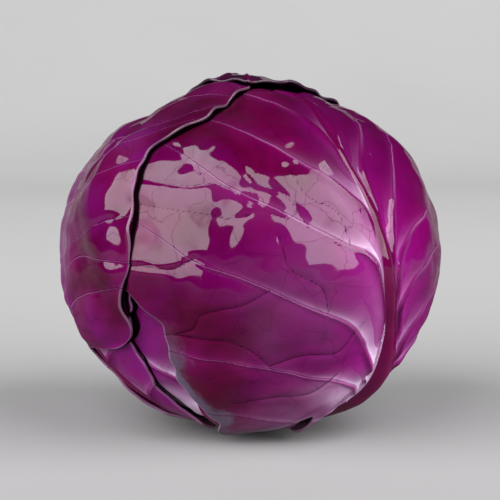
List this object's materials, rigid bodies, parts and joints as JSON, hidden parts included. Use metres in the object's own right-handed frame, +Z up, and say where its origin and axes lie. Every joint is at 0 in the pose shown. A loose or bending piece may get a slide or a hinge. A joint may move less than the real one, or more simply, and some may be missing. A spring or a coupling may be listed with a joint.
{
  "type": "cabbage head",
  "caption": "Round head of red cabbage: glossy purple wrapper leaves with pale ribs lapped round a tight heart, standing on its cut stem.",
  "frame": {"origin": "middle of the head's bounding box, on the surface that it stands on", "axes": "+Z up, from the cut stem to the crown; the head's front, where two wrapper leaves meet in a seam, faces -Y"},
  "size_m": [0.1498, 0.1496, 0.1396],
  "materials": {
    "stem": "matte",
    "heart": "satin",
    "lower_front_leaf": "gloss",
    "lower_right_leaf": "gloss",
    "lower_back_leaf": "gloss",
    "lower_left_leaf": "gloss",
    "front_leaf": "gloss",
    "left_leaf": "gloss",
    "crown_leaf": "gloss"
  },
  "bodies": {
    "root": {"stem": "stem", "heart": "heart", "lower_front_leaf": "lower_front_leaf", "lower_right_leaf": "lower_right_leaf", "lower_back_leaf": "lower_back_leaf", "lower_left_leaf": "lower_left_leaf", "front_leaf": "front_leaf", "left_leaf": "left_leaf", "crown_leaf": "crown_leaf"}
  },
  "joints": []
}
